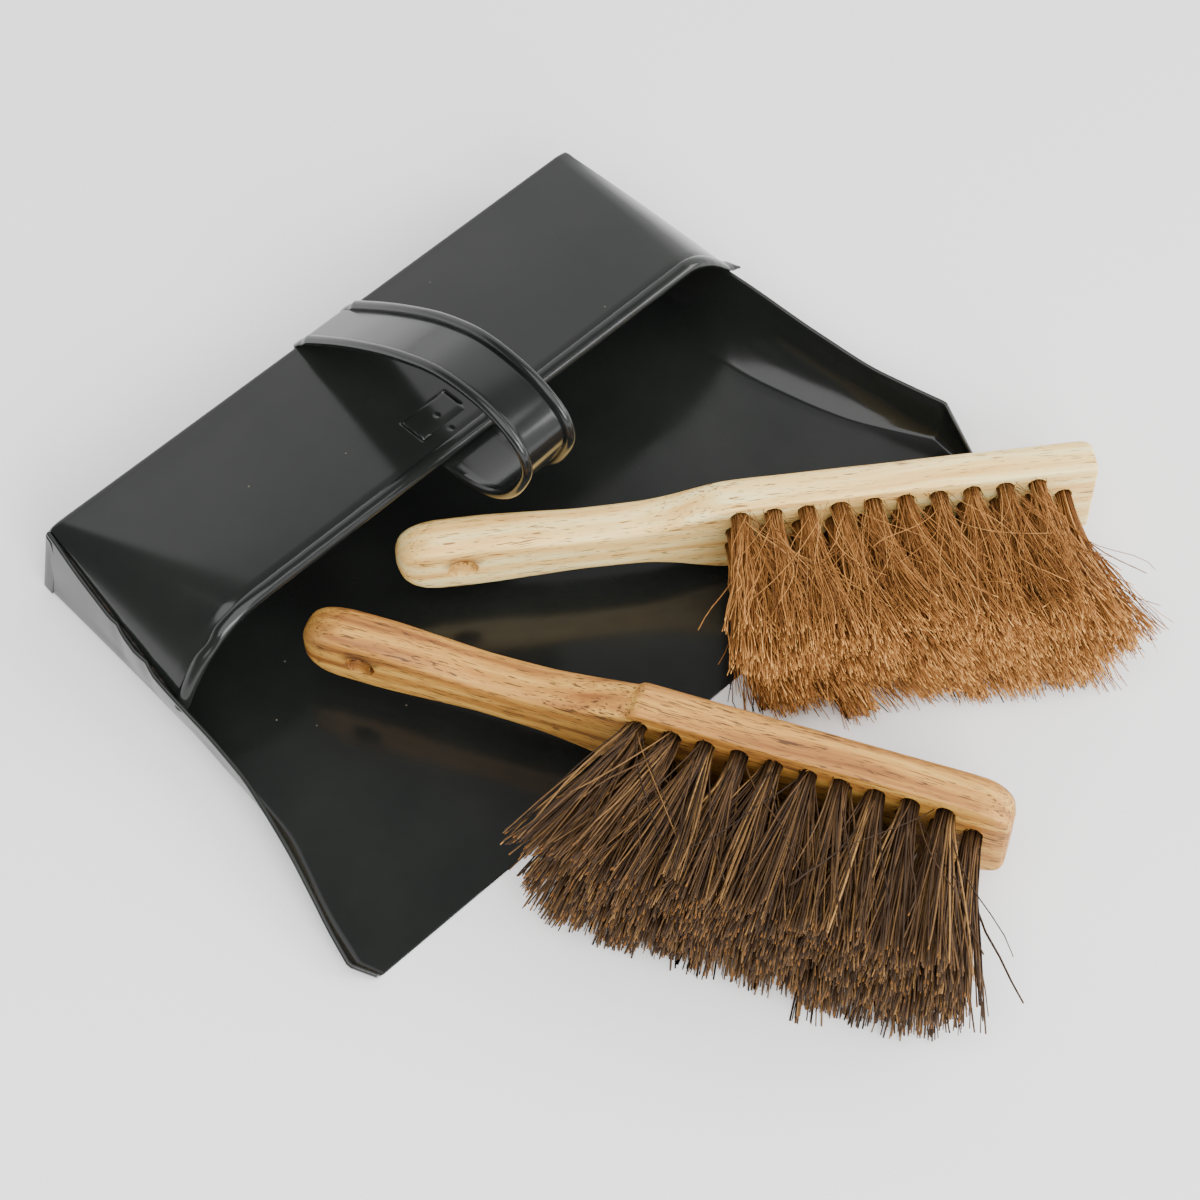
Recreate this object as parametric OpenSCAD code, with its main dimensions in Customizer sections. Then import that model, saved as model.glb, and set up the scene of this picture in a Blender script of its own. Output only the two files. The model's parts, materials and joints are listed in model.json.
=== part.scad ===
// Hooded sheet-steel dustpan with a soft coco hand brush and a stiff bassine hand brush.
// Units are millimetres. The origin is the centre of the tray's underside: +X is to the right,
// -Y is towards the open mouth, +Z is up. Both brushes lie on their sides across the mouth.

/* [Sheet] */
// Thickness of the enamelled steel sheet
sheet = 0.9; // [0.7:0.1:1.2]
// Radius of the rolled edges on the hood and the handle
roll_r = 2.1; // [1.8:0.1:2.4]

/* [Tray] */
// Depth of the floor from the front lip to the back edge
tray_depth = 225; // [200:1:250]
// Width of the floor at the back
back_w = 289; // [270:1:310]
// Width of the front lip between the chamfered corners
lip_w = 330; // [310:1:350]
// Height of the side walls where they meet the hood's front edge
wall_front_h = 26; // [20:1:32]
// Height that the wings keep at the chamfered front corners
corner_rise = 14; // [6:1:20]
// Length of the straight side walls, from the back edge to where the wings start to flare
wall_len = 100; // [80:1:120]

/* [Hood] */
// Length of the hood from its back fold to its rolled front edge
hood_len = 88; // [70:1:100]
// Height of the hood at the back fold
hood_back_h = 43; // [36:1:50]
// Height of the hood at the middle of its front edge
hood_front_h = 52.5; // [48:0.5:60]
// Width of the hood's top at the back fold
hood_back_w = 278; // [260:1:285]
// Sideways reach of the rounded shoulders at the front edge
shoulder_w = 29; // [20:1:36]

/* [Handle] */
// Width of the handle strap over its rolled edges
strap_w = 30; // [26:1:36]
// Height of the top of the handle loop
loop_h = 110; // [100:1:120]
// Distance that the loop reaches in front of the hood's edge
loop_reach = 50; // [40:1:56]

/* [Brushes] */
// Overall length of each brush stock
coco_len = 280; // [276:1:286]
bassine_len = 284; // [279:1:290]
// Free length of the fibres
fibre_len = 71; // [60:1:75]
// Distance between tufts along a row
tuft_pitch = 13.3; // [13:0.1:14]
// Distance between the rows of tufts
row_gap = 9.4; // [9:0.1:9.8]
// Diameter of the holes that hold the tufts
socket_d = 7; // [6:0.2:7.4]
// Diameter of the hanging hole
hang_d = 8; // [6:0.5:9]
// Height of each brush's centre line above the ground
lie_h = 26.6; // [26.4:0.1:30]

/* [Hidden] */

enamel = "#232524";
coco_wood = "#e9dcb5";
rubber_wood = "#c9a173";
coco_fibre = "#a86c3c";
bassine_fibre = "#4a3527";
wire_colour = "silver";

y_lip = -tray_depth / 2;
y_back = tray_depth / 2;
// The back wall leans in by this much from its foot to the back fold
back_lean = 6;
y_fold = y_back - back_lean;
y_hood = y_fold - hood_len;
// Gap left between sheets that are spot-welded face to face
lap = 0.15;

// ---- Sheet metal -------------------------------------------------------------------------

function lerp(a, b, f) = a + (b - a) * f;

// Unit normal of a grid of points at row i, column j
function grid_normal(g, i, j) =
    let (di = g[min(i + 1, len(g) - 1)][j] - g[max(i - 1, 0)][j],
         dj = g[i][min(j + 1, len(g[0]) - 1)] - g[i][max(j - 1, 0)],
         n = cross(di, dj))
    n / norm(n);

// A solid sheet of thickness t, centred on a grid of points
module sheet_shell(g, t) {
    rows = len(g);
    cols = len(g[0]);
    side = rows * cols;
    function at(i, j) = i * cols + j;
    pts = [for (s = [1, -1], i = [0:rows - 1], j = [0:cols - 1])
        g[i][j] + s * t / 2 * grid_normal(g, i, j)];
    top = [for (i = [0:rows - 2], j = [0:cols - 2], f = [0, 1])
        f == 0 ? [at(i, j), at(i, j + 1), at(i + 1, j + 1)]
               : [at(i, j), at(i + 1, j + 1), at(i + 1, j)]];
    bottom = [for (f = top) [f[0] + side, f[2] + side, f[1] + side]];
    rim = concat([for (j = [0:cols - 2]) [at(0, j + 1), at(0, j)]],
                 [for (j = [0:cols - 2]) [at(rows - 1, j), at(rows - 1, j + 1)]],
                 [for (i = [0:rows - 2]) [at(i, 0), at(i + 1, 0)]],
                 [for (i = [0:rows - 2]) [at(i + 1, cols - 1), at(i, cols - 1)]]);
    edge = [for (e = rim, f = [0, 1])
        f == 0 ? [e[0], e[1], e[1] + side] : [e[0], e[1] + side, e[0] + side]];
    polyhedron(pts, concat(top, bottom, edge));
}

// ---- Tray: floor, side walls and flared wings, folded from one sheet ---------------------

// How far a place along the tray is into the flare, 0 at the straight walls to 1 at the lip
function flare(y) = max(0, min(1, (y_back - wall_len - y) / (tray_depth - wall_len)));

// Half width of the floor at y: straight at the back, then opening out in a curve
function fold_x(y) = lerp(back_w / 2, lip_w / 2 + 3, pow(flare(y), 2.2));

// Height of the wall's top edge at y
function wall_h(y) = y > y_hood
    ? lerp(wall_front_h, hood_back_h - 6, (y - y_hood) / (y_back - y_hood))
    : lerp(corner_rise, wall_front_h, pow((y - y_lip) / (y_hood - y_lip), 1.2));

// Lean of the wall's top edge at y: inwards at the back, outwards at the wings
function wall_lean(y) = y > y_hood
    ? lerp(3.4, -2.6, (y - y_hood) / (y_back - y_hood))
    : 3.4 + 6 * sin(180 * min(1, flare(y) * 0.95));

fold_r = 3;
// Length of the chamfered front corners along Y, and how far they come in at the lip
corner_cut = 16;
corner_in = 6;

// One section of the tray, from the left edge to the right edge
function tray_section(y, h, cut) =
    let (x = fold_x(y) - cut, lean = wall_lean(y) * h / wall_h(y), z0 = sheet / 2,
         right = [[x - fold_r, y, z0], [x - fold_r * 0.3, y, z0 + fold_r * 0.3],
                  [x, y, z0 + fold_r], [x + lean * 0.5, y, lerp(z0 + fold_r, h, 0.5)],
                  [x + lean, y, h]],
         left = [for (i = [len(right) - 1:-1:0]) [-right[i][0], right[i][1], right[i][2]]],
         floor = [for (f = [-0.5, 0, 0.5]) [f * (x - fold_r), y, z0]])
    concat(left, floor, right);

tray_rows = concat(
    [for (y = [y_back - 2, y_back - 40, y_hood + 30, y_hood, y_hood - 25, y_hood - 50,
               y_hood - 70, y_hood - 88, y_lip + corner_cut + 9, y_lip + corner_cut])
        tray_section(y, wall_h(y), 0)],
    [tray_section(y_lip + corner_cut * 0.45, corner_rise * 0.55 + fold_r, corner_in / 4),
     tray_section(y_lip, fold_r + sheet, corner_in)]);

module pan_tray() {
    color(enamel) sheet_shell(tray_rows, sheet);
}

// ---- Hood: back wall, top with rounded shoulders, rolled front edge ----------------------

shoulder_steps = 5;
back_shoulder = 4;
// How far the flange slopes outwards to its lower edge
flange_out = 0.2;
// How far the hood's foot stands outside the floor's edge at the front, inside the wall
hood_foot_out = 1.3;
// How far the back wall's foot stands in from the tray's back edge and sides, and off the floor
wall_foot_y = 1.5;
wall_foot_x = 2.5;
wall_foot_z = 0.5;
// Depth of the flange that tucks down inside each side wall
flange = 5;

// One side of the hood's cross-section at v, 0 at the back fold to 1 at the front edge.
// k runs from 0 at the top of the shoulder to 1 at its foot.
function shoulder(v, k) =
    let (x_foot = lerp(hood_back_w / 2, back_w / 2 + hood_foot_out, v),
         x_top = x_foot - lerp(back_shoulder, shoulder_w, v),
         z_top = lerp(hood_back_h, hood_front_h, v),
         z_foot = lerp(hood_back_h - back_shoulder, wall_front_h + 1.5, v))
    [lerp(x_top, x_foot, sin(90 * k)), z_foot + (z_top - z_foot) * cos(90 * k)];

// Outward direction across the sheet at the same place
function shoulder_out(k) = [sin(90 * k), cos(90 * k)];

// The half section from the middle to the flange, as [x, z, out_x, out_z]
function half_section(v) = concat(
    [for (f = [0, 0.5]) let (p = shoulder(v, 0)) [p[0] * f, p[1], 0, 1]],
    [for (k = [0:shoulder_steps])
        let (p = shoulder(v, k / shoulder_steps), o = shoulder_out(k / shoulder_steps))
        [p[0], p[1], o[0], o[1]]],
    [let (p = shoulder(v, 1)) [p[0] + flange_out, p[1] - flange, 1, 0]]);

function full_section(v) = let (h = half_section(v)) concat(
    [for (i = [len(h) - 1:-1:1]) [-h[i][0], h[i][1], -h[i][2], h[i][3]]], h);

// Back wall row at height fraction f, under the back fold
function back_row(f) = [for (p = full_section(0))
    let (z = lerp(sheet + lap + wall_foot_z, p[1], f),
         foot = (back_w / 2 - wall_foot_x) / (hood_back_w / 2))
    [p[0] * lerp(foot, 1, f), lerp(y_back - wall_foot_y, y_fold, f), z]];

function top_row(v) = [for (p = full_section(v)) [p[0], lerp(y_fold, y_hood + roll_r, v), p[1]]];

// Row of the rolled front edge at angle a around the roll
function roll_row(a) = [for (p = full_section(1))
    let (drop = roll_r * (1 - cos(a)))
    [p[0] - p[2] * drop, y_hood + roll_r - roll_r * sin(a), p[1] - p[3] * drop]];

hood_rows = concat([for (f = [0, 0.5, 0.93]) back_row(f)],
                   [for (v = [0.03, 0.25, 0.5, 0.75, 1]) top_row(v)],
                   [for (a = [40:40:280]) roll_row(a)]);

module hood() {
    color(enamel) sheet_shell(hood_rows, sheet);
}

// ---- Handle: a strap with rolled edges, from the back fold over and under the hood -------

// The strap's centre line in the Y-Z plane: lap on the back wall, rising run, loop, tail
loop_front = y_hood - loop_reach;
loop_top = [y_hood - 22, loop_h];
loop_nose = [loop_front, loop_h - 17];
loop_foot = [y_hood - 20, hood_front_h + 0.5];
tail_z = hood_front_h - roll_r * 2 - sheet * 2.2;

function bezier(a, b, c, d, t) =
    a * pow(1 - t, 3) + b * 3 * t * pow(1 - t, 2) + c * 3 * t * t * (1 - t) + d * pow(t, 3);

strap_start = [y_fold - 1.5, hood_back_h + sheet + 1.3];
strap_path = concat(
    [[y_back + 0.6 - 6 * 24 / 41, 26], [y_fold + 2.2, hood_back_h - 1.5],
     [y_fold + 1.4, hood_back_h + 0.9]],
    [for (t = [0:0.125:1])
        bezier(strap_start, [y_fold - 32, hood_back_h + 28], [y_hood + 14, loop_h], loop_top, t)],
    [for (t = [0.2:0.2:1])
        bezier(loop_top, [y_hood - 34, loop_h], [loop_front, loop_h - 6], loop_nose, t)],
    [for (t = [0.143:0.143:1])
        bezier(loop_nose, [loop_front, loop_h - 34], [y_hood - 38, hood_front_h + 5.5],
               loop_foot, t)],
    [[y_hood - 10, tail_z + 2.2], [y_hood, tail_z], [y_hood + 9, tail_z + 0.6],
     [y_hood + 28, tail_z + 1.6]]);

// Direction along the strap and its outward side at point i, in the Y-Z plane
function strap_dir(i) =
    let (d = strap_path[min(i + 1, len(strap_path) - 1)] - strap_path[max(i - 1, 0)])
    d / norm(d);

// The strap's half section: flat, then an edge rolled outwards. Each entry is [x, out].
roll_x = strap_w / 2 - roll_r - sheet / 2;
strap_half = concat([[0, 0], [roll_x - 1.5, 0]],
    [for (a = [-60:50:200]) [roll_x + roll_r * cos(a), roll_r + roll_r * sin(a)]]);
strap_section = concat(
    [for (i = [len(strap_half) - 1:-1:1]) [-strap_half[i][0], strap_half[i][1]]], strap_half);

// The rolled edges fade out on the lap and the tail, where the strap is flattened
function roll_height(i) =
    let (last = len(strap_path) - 1)
    i < 3 ? 0.12 : i > last - 4 ? 0.12 : 1;

strap_x = 3;
strap_rows = [for (i = [0:len(strap_path) - 1])
    let (p = strap_path[i], d = strap_dir(i), out = [-d[1], d[0]])
    [for (q = strap_section)
        [strap_x + q[0], p[0] - out[0] * q[1] * roll_height(i), p[1] - out[1] * q[1] * roll_height(i)]]];

module handle_strap() {
    color(enamel) sheet_shell(strap_rows, sheet);
}

// ---- Brush stocks ------------------------------------------------------------------------

// A brush stands in its own frame with +X from the handle's tip to the toe, +Y across and the
// flat face that holds the fibres at z = 0, so the fibres hang towards -Z.
// Each brush is [tip x, tip y, heading, thickness, first tuft, splay of the tips at the
//                neck end, splay at the toe]
coco = [-39.4, y_lip + 130, -36.2, 19.5, 136, 7, 4];
bassine = [-83.8, y_lip + 126.2, -62.2, 20.5, 139.5, 14, 13];

// Lays a brush on its side at its place beside the hood, or turns a direction the same way
module lie(b) {
    translate([b[0], b[1], lie_h]) rotate([-90, 0, b[2]]) translate([0, 0, -b[3]]) children();
}

// Stations along a stock: [x, half width, underside, back, width of each lower edge's round].
// The coco stock swells smoothly into its head; the bassine stock has a square shoulder.
coco_stations = [
    [0, 3.5, 7, 13, 2], [2, 8, 3.2, 17, 3], [7, 11.6, 0.8, 19.2, 4], [17, 13.6, 0, 20, 5],
    [32, 13.8, 0, 20, 5], [52, 12.8, 0, 19.6, 5], [76, 11.4, 0, 19, 5], [97, 11.8, 0, 19, 4.6],
    [110, 14, 0, 19.2, 3.8], [121, 17.4, 0, 19.4, 2.6], [132, 20.2, 0, 19.5, 1.4],
    [200, 20.5, 0, 19.5, 1], [269, 20.5, 0, 19.5, 1], [272, 18.4, 0, 19.4, 1],
    [275, 13, 0.4, 18.6, 1], [coco_len, 7, 1.4, 17, 1]];
bassine_stations = [
    [0, 3.5, 7, 13, 2], [2, 8, 3.2, 17, 3], [7, 11.6, 0.8, 19.4, 4], [17, 13.8, 0, 20.2, 5],
    [32, 13.8, 0, 20.2, 5], [52, 12.4, 0, 19.8, 5], [76, 10.6, 0, 19.4, 4.6],
    [97, 11.4, 0, 19.6, 4.2], [112, 13.6, 0, 20, 3.6], [128, 17, 0, 20.3, 2.6],
    [134.5, 19, 0, 20.4, 1.6], [136.5, 21.8, 0, 20.5, 1.2], [200, 22, 0, 20.5, 1],
    [266, 22, 0, 20.5, 1], [273, 19.6, 0, 20.4, 1], [278, 13.6, 0.3, 19.6, 1],
    [bassine_len, 7, 1.6, 17.4, 1]];

// Cross-section of a stock: flat underneath, with full sides and a rounded back
function stock_section(st) =
    let (x = st[0], a = st[1], z0 = st[2], h = st[3] - st[2], r = st[4], waist = 0.32)
    concat(
        [for (t = [0:15:180]) [x, a * sign(cos(t)) * pow(abs(cos(t)), 0.72),
            z0 + h * (waist + (1 - waist) * pow(sin(t), 0.72))]],
        [[x, -a + r * 0.2, z0 + h * waist * 0.4], [x, -a + r, z0],
         [x, a - r, z0], [x, a - r * 0.2, z0 + h * waist * 0.4]]);

// Solid through a list of sections, each with the same number of points
module loft(sections) {
    n = len(sections);
    m = len(sections[0]);
    function at(i, j) = i * m + j % m;
    sides = [for (i = [0:n - 2], j = [0:m - 1], f = [0, 1])
        f == 0 ? [at(i, j), at(i + 1, j), at(i + 1, j + 1)]
               : [at(i, j), at(i + 1, j + 1), at(i, j + 1)]];
    polyhedron([for (s = sections) each s],
        concat(sides, [[for (j = [0:m - 1]) at(0, j)]],
               [[for (j = [m - 1:-1:0]) at(n - 1, j)]]));
}

// ---- Tufts, their sockets and the anchors that hold them ---------------------------------

socket_depth = 11;
hang_x = 26;

// Rows 1 to 4 lie side by side; the two inner rows run one tuft further round the toe
function row_y(row) = row_gap * (row - 2.5);
function row_count(row) = row == 1 || row == 4 ? 10 : 11;
function tuft_x(b, row, i) = b[4] + i * tuft_pitch - (row_count(row) == 11 ? 2 : 0);

module sockets(b) {
    for (row = [1:4], i = [0:row_count(row) - 1])
        translate([tuft_x(b, row, i), row_y(row), -1])
            cylinder(h = socket_depth + 1, d = socket_d, $fn = 24);
}

module stock(b, stations) {
    lie(b) difference() {
        loft([for (st = stations) stock_section(st)]);
        sockets(b);
        translate([hang_x, 0, -1]) cylinder(h = b[3] + 3, d = hang_d, $fn = 48);
    }
}

tuft_base_r = socket_d / 2 - 0.08;
tuft_tip_r = 6.1;
anchor_t = 0.5;
anchor_h = 2.4;
slot_play = 0.1;
// Outward shift of the outer rows' tips
row_splay = 4.2;

// One bundle of fibres: bound in its socket, slotted for its anchor, opening towards the tips
module tuft(shift_x, shift_y) {
    mouth = 1;
    run = fibre_len - mouth;
    length = norm([shift_x, shift_y, run]);
    translate([0, 0, -mouth - 0.4]) difference() {
        cylinder(h = socket_depth + mouth + 0.3, r = tuft_base_r, $fn = 24);
        translate([-socket_d, -anchor_t / 2 - slot_play, socket_depth + mouth + 0.3 - anchor_h - slot_play])
            cube([socket_d * 2, anchor_t + slot_play * 2, anchor_h * 2]);
    }
    translate([0, 0, -mouth]) rotate([0, 0, atan2(shift_y, shift_x)])
        rotate([0, 180 - asin(norm([shift_x, shift_y]) / length), 0])
            cylinder(h = length, r1 = tuft_base_r - 0.3, r2 = tuft_tip_r, $fn = 24);
}

module tuft_row(b, row) {
    n = row_count(row);
    lie(b) for (i = [0:n - 1])
        translate([tuft_x(b, row, i), row_y(row), 0])
            tuft(lerp(-b[5], b[6], i / (n - 1)), row_splay * (row - 2.5) / 1.5);
}

// A flat metal anchor across the bottom of each socket, where the fibres are folded over it
module anchor_row(b, row) {
    lie(b) for (i = [0:row_count(row) - 1])
        translate([tuft_x(b, row, i), row_y(row), socket_depth - anchor_h / 2 - 0.05])
            cube([socket_d - 0.9, anchor_t, anchor_h], center = true);
}

module coco_stock() { color(coco_wood) stock(coco, coco_stations); }
module coco_tufts(row) { color(coco_fibre) tuft_row(coco, row); }
module coco_anchors(row) { color(wire_colour) anchor_row(coco, row); }
module bassine_stock() { color(rubber_wood) stock(bassine, bassine_stations); }
module bassine_tufts(row) { color(bassine_fibre) tuft_row(bassine, row); }
module bassine_anchors(row) { color(wire_colour) anchor_row(bassine, row); }

pan_tray();
hood();
handle_strap();
coco_stock();
coco_tufts(1);  // coco_tufts_1
coco_tufts(2);  // coco_tufts_2
coco_tufts(3);  // coco_tufts_3
coco_tufts(4);  // coco_tufts_4
coco_anchors(1);  // coco_anchors_1
coco_anchors(2);  // coco_anchors_2
coco_anchors(3);  // coco_anchors_3
coco_anchors(4);  // coco_anchors_4
bassine_stock();
bassine_tufts(1);  // bassine_tufts_1
bassine_tufts(2);  // bassine_tufts_2
bassine_tufts(3);  // bassine_tufts_3
bassine_tufts(4);  // bassine_tufts_4
bassine_anchors(1);  // bassine_anchors_1
bassine_anchors(2);  // bassine_anchors_2
bassine_anchors(3);  // bassine_anchors_3
bassine_anchors(4);  // bassine_anchors_4
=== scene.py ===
"""A hooded steel dustpan with a coco and a bassine hand brush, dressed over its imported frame.

Shapes are worked out in millimetres in the row frame (+X right, -Y out of the pan's mouth,
+Z up) and turned into metres when their meshes are made.
"""
import json
import math
import bpy
import numpy as np
from mathutils import Matrix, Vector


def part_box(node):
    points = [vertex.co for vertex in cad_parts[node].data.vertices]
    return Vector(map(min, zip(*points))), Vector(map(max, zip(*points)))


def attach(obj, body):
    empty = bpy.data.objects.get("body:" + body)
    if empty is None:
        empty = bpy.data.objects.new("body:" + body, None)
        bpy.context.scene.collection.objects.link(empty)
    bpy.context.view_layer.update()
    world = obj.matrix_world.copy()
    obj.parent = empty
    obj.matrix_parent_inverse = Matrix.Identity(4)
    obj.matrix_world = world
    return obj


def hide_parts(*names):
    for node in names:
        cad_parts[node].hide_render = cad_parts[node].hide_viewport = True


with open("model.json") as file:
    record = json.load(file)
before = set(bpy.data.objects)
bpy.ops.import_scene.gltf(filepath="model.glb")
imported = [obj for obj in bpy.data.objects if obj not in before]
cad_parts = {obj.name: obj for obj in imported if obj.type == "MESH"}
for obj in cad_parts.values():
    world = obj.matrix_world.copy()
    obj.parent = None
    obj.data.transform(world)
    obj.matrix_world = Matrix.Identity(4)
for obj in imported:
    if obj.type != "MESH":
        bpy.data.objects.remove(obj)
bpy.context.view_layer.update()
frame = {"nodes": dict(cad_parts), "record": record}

MM = 0.001

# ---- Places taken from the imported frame, in millimetres -----------------------------------


def box_mm(node):
    low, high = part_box(node)
    return np.array(low) / MM, np.array(high) / MM


HOOD_LOW, HOOD_HIGH = box_mm("hood")
Y_LIP = box_mm("pan_tray")[0][1]
Y_BACK = HOOD_HIGH[1]
Y_HOOD = HOOD_LOW[1]
# The back wall leans in by LEAN_IN over BACK_HEIGHT, from its foot at Y_BACK to the back fold
LEAN_IN, BACK_HEIGHT = 5.5, 43
Y_FOLD = Y_BACK - LEAN_IN
LEAN = LEAN_IN / BACK_HEIGHT
SHEET = 0.9
# Edges that turn more than this are drawn sharp
SHARP_DEGREES = 38


# ---- Curves and meshes --------------------------------------------------------------------


def hermite(xs, ys, tangent, at):
    """Values at `at` on the cubic curve through the points (xs, ys) with a tangent at each."""
    i = np.clip(np.searchsorted(xs, at) - 1, 0, len(xs) - 2)
    h = xs[i + 1] - xs[i]
    t = np.clip((at - xs[i]) / h, 0, 1)
    start = (1 + 2 * t) * (1 - t) ** 2 * ys[i] + t * (1 - t) ** 2 * h * tangent[i]
    end = t * t * (3 - 2 * t) * ys[i + 1] + t * t * (t - 1) * h * tangent[i + 1]
    return start + end


def smooth(xs, ys, at):
    """Values at `at` on a smooth curve through the points (xs, ys) that never overshoots."""
    xs, ys, at = np.asarray(xs, float), np.asarray(ys, float), np.asarray(at, float)
    slope = np.diff(ys) / np.diff(xs)
    tangent = np.zeros_like(ys)
    both = slope[:-1] * slope[1:]
    total = slope[:-1] + slope[1:]
    tangent[1:-1] = np.where(both > 0, 2 * both / np.where(total == 0, 1, total), 0)
    tangent[0], tangent[-1] = slope[0], slope[-1]
    return hermite(xs, ys, tangent, at)


def ease(t):
    """0 to 1 with a soft start and end."""
    t = np.clip(t, 0, 1)
    return t * t * (3 - 2 * t)


def bump(distance, width):
    """1 at a distance of 0, falling smoothly to 0 at width."""
    return 1 - ease(np.abs(distance) / width)


def ripple(x, y, seed, wave, height):
    """Gentle random waves of hand-formed sheet, about `wave` long and `height` high."""
    rng = np.random.default_rng(seed)
    total = 0 * (x + y)
    for _ in range(7):
        angle, phase = rng.uniform(0, 2 * math.pi, 2)
        k = 2 * math.pi / (wave * rng.uniform(0.6, 1.8))
        total = total + np.sin(k * (x * math.cos(angle) + y * math.sin(angle)) + phase)
    return total * height / 3.5


def dense_steps(low, high, coarse, fine_spans):
    """Steps from low to high, `coarse` apart, but finer inside each (start, end, step)."""
    steps = [low, high]
    edges = [low] + [e for span in fine_spans for e in span[:2]] + [high]
    for a, b in zip(edges[0::2], edges[1::2]):
        steps += list(np.linspace(a, b, max(2, int((b - a) / coarse) + 1)))
    for a, b, step in fine_spans:
        steps += list(np.linspace(a, b, int((b - a) / step) + 1))
    return np.unique(np.round(steps, 4))


def grid_normals(grid):
    """Unit normals of a grid of points."""
    rows = np.gradient(grid, axis=0)
    cols = np.gradient(grid, axis=1)
    normal = np.cross(rows, cols)
    return normal / np.maximum(np.linalg.norm(normal, axis=2, keepdims=True), 1e-9)


def grid_faces(rows, cols, wrap=False):
    """Quads of a grid of points, numbered row by row."""
    i, j = np.meshgrid(np.arange(rows - 1), np.arange(cols if wrap else cols - 1), indexing="ij")
    k = (j + 1) % cols
    quads = [i * cols + j, i * cols + k, (i + 1) * cols + k, (i + 1) * cols + j]
    return np.stack(quads, axis=-1).reshape(-1, 4)


def capped_faces(rings, sides):
    """Faces of a solid of stacked rings, closed with one flat face at each end."""
    faces = grid_faces(rings, sides, wrap=True).tolist()
    last = (rings - 1) * sides
    return faces + [list(range(sides))[::-1], list(range(last, last + sides))]


def sheet_shell(grid, thickness):
    """Vertices and faces of a closed sheet round a grid of points, with rounded edges."""
    rows, cols = grid.shape[:2]
    normal = grid_normals(grid)
    rim = [(i, 0) for i in range(rows)] + [(rows - 1, j) for j in range(1, cols)]
    rim += [(i, cols - 1) for i in range(rows - 2, -1, -1)] + [(0, j) for j in range(cols - 2, 0, -1)]
    rim = np.array(rim)
    inner = np.clip(rim, 1, [rows - 2, cols - 2])
    edge = grid[rim[:, 0], rim[:, 1]]
    out = edge - grid[inner[:, 0], inner[:, 1]]
    out -= normal[rim[:, 0], rim[:, 1]] * np.sum(out * normal[rim[:, 0], rim[:, 1]], axis=1)[:, None]
    out /= np.maximum(np.linalg.norm(out, axis=1, keepdims=True), 1e-9)
    upper = (grid + normal * thickness / 2).reshape(-1, 3)
    lower = (grid - normal * thickness / 2).reshape(-1, 3)
    verts = np.concatenate([upper, lower, edge + out * thickness * 0.4])
    count = rows * cols
    top = grid_faces(rows, cols)
    faces = [top, top[:, ::-1] + count]
    a = rim[:, 0] * cols + rim[:, 1]
    b = np.roll(a, -1)
    m = 2 * count + np.arange(len(rim))
    n = np.roll(m, -1)
    faces += [np.stack([a, b, n, m], axis=1), np.stack([m, n, b + count, a + count], axis=1)]
    return verts, np.concatenate(faces)


def tube(path, radii, sides):
    """Vertices and faces of a closed tube along a path, with a radius at each point."""
    along = np.gradient(path, axis=0)
    along /= np.linalg.norm(along, axis=1, keepdims=True)
    side = np.cross(along, [0.13, 0.21, 0.97])
    side /= np.linalg.norm(side, axis=1, keepdims=True)
    up = np.cross(side, along)
    turn = np.linspace(0, 2 * math.pi, sides, endpoint=False)
    ring = side[:, None] * np.cos(turn)[None, :, None] + up[:, None] * np.sin(turn)[None, :, None]
    verts = (path[:, None] + ring * radii[:, None, None]).reshape(-1, 3)
    count = len(path)
    verts = np.concatenate([verts, path[:1], path[-1:]])
    faces = grid_faces(count, sides, wrap=True).tolist()
    for j in range(sides):
        k = (j + 1) % sides
        faces.append([count * sides, k, j])
        faces.append([count * sides + 1, (count - 1) * sides + j, (count - 1) * sides + k])
    return verts, faces


def joined_mesh(name, parts, unit):
    """One mesh from (vertices, faces) parts, with its vertices times unit."""
    verts, faces = [], []
    for part_verts, part_faces in parts:
        offset = sum(len(v) for v in verts)
        verts.append(part_verts)
        faces += [[int(i) + offset for i in face] for face in part_faces]
    mesh = bpy.data.meshes.new(name)
    mesh.from_pydata((np.concatenate(verts) * unit).tolist(), [], faces)
    return mesh


def place_in_scene(name, data):
    """A new object in the scene."""
    made = bpy.data.objects.new(name, data)
    bpy.context.scene.collection.objects.link(made)
    return made


def hand_over(name, mesh, body, node):
    """Puts a finished mesh on its body, in place of a CAD node where one is named."""
    piece = place_in_scene(name, mesh)
    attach(piece, body)
    if node:
        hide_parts(node)


def make_piece(name, parts, materials, body):
    """The visible piece that replaces node `name`: (vertices in mm, faces, material index) parts."""
    mesh = joined_mesh(name, [part[:2] for part in parts], MM)
    which = np.repeat([part[2] for part in parts], [len(part[1]) for part in parts])
    for material in materials:
        mesh.materials.append(material)
    mesh.polygons.foreach_set("material_index", which)
    mesh.polygons.foreach_set("use_smooth", [True] * len(which))
    mesh.set_sharp_from_angle(angle=math.radians(SHARP_DEGREES))
    mesh.update()
    hand_over(name, mesh, body, name)


# ---- Materials ----------------------------------------------------------------------------


def new_material(name):
    """A node material, its tree and its Principled node."""
    material = bpy.data.materials.new(name)
    material.use_nodes = True
    tree = material.node_tree
    return material, tree, tree.nodes["Principled BSDF"]


def add(tree, kind, inputs=None, **settings):
    """Adds a node with its settings, then sets or links each input by name or number."""
    made = tree.nodes.new(kind)
    for key, value in settings.items():
        setattr(made, key, value)
    for key, value in (inputs or {}).items():
        put(tree, made.inputs[key], value)
    return made


def rgb(code):
    """Linear colour of a hex code."""
    parts = [int(code[i:i + 2], 16) / 255 for i in (0, 2, 4)]
    linear = [c / 12.92 if c <= 0.04045 else ((c + 0.055) / 1.055) ** 2.4 for c in parts]
    return (*linear, 1)


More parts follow.
